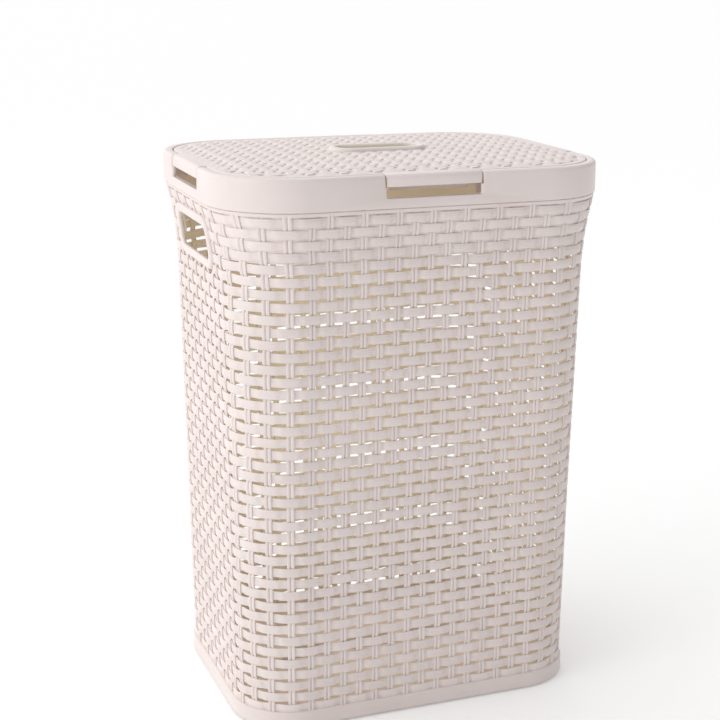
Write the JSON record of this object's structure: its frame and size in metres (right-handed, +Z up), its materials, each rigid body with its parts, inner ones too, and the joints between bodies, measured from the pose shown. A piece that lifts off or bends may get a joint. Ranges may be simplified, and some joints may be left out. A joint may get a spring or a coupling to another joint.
{
  "type": "laundry hamper with hinged lid",
  "caption": "Tall rattan-look plastic laundry hamper with rounded corners, side handle openings, a smooth collar and a recessed hinged lid with a grip ring.",
  "frame": {"origin": "on the floor under the middle of the hamper's outline", "axes": "+Z up, +X to the right seen from the front, -Y towards the front with the lid's front tongue"},
  "size_m": [0.448, 0.348, 0.624],
  "materials": {
    "weave": "satin ivory plastic with a moulded rattan weave",
    "smooth": "smooth satin ivory plastic",
    "lid_weave": "satin ivory plastic with a moulded weave relief",
    "lid_smooth": "smooth satin ivory plastic"
  },
  "bodies": {
    "basket": {"basket_wall": "weave", "upper_wall": "weave", "basket_floor": "smooth", "base_band": "smooth", "foot_front_left": "smooth", "foot_front_right": "smooth", "foot_rear_left": "smooth", "foot_rear_right": "smooth", "collar": "smooth", "handle_frame_left": "smooth", "handle_frame_right": "smooth", "hinge_rod": "smooth"},
    "lid": {"lid_panel": "lid_weave", "lid_border": "lid_smooth", "grip_ring": "lid_smooth", "front_tongue": "lid_smooth", "left_tongue": "lid_smooth", "right_tongue": "lid_smooth", "hinge_tongue": "lid_smooth", "knuckle_left": "lid_smooth", "knuckle_right": "lid_smooth"}
  },
  "joints": [
    {"name": "lid_hinge", "type": "hinge", "parent": "basket", "child": "lid", "pos_m": [0, 0.168, 0.61], "axis": [-1, 0, 0], "range_deg": [0, 100]}
  ]
}
